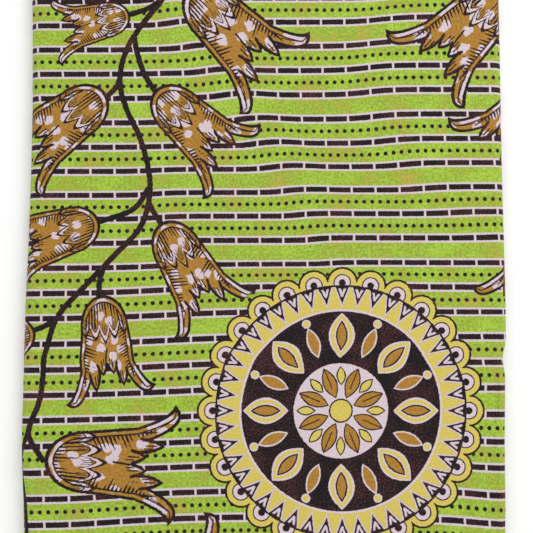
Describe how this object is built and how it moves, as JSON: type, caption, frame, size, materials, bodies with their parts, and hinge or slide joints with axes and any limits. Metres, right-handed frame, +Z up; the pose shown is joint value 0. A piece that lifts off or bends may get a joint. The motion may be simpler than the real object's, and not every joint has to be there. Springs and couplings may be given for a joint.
{
  "type": "folded printed cotton cloth",
  "caption": "Length of printed cotton wound flat into a soft bundle, green with dashed bands, dots, bell flowers and a rosette, lying on its underside.",
  "frame": {"origin": "middle of the bundle's bounding box, on the plane that it rests on", "axes": "+X across the laps from the left fold to the right fold, +Y along the doubled width from the selvedges to the centre fold, +Z up out of the printed face"},
  "size_m": [0.4628, 0.58, 0.0199],
  "materials": {
    "printed_face": "matte printed cotton with a slight starch sheen",
    "printed_underside": "matte printed cotton, pressed flat",
    "hidden_laps": "matte printed cotton with pale plain selvedges"
  },
  "bodies": {
    "root": {"face_lap": "printed_face", "under_lap": "printed_underside", "cut_end": "printed_underside", "inner_laps": "hidden_laps"}
  },
  "joints": []
}
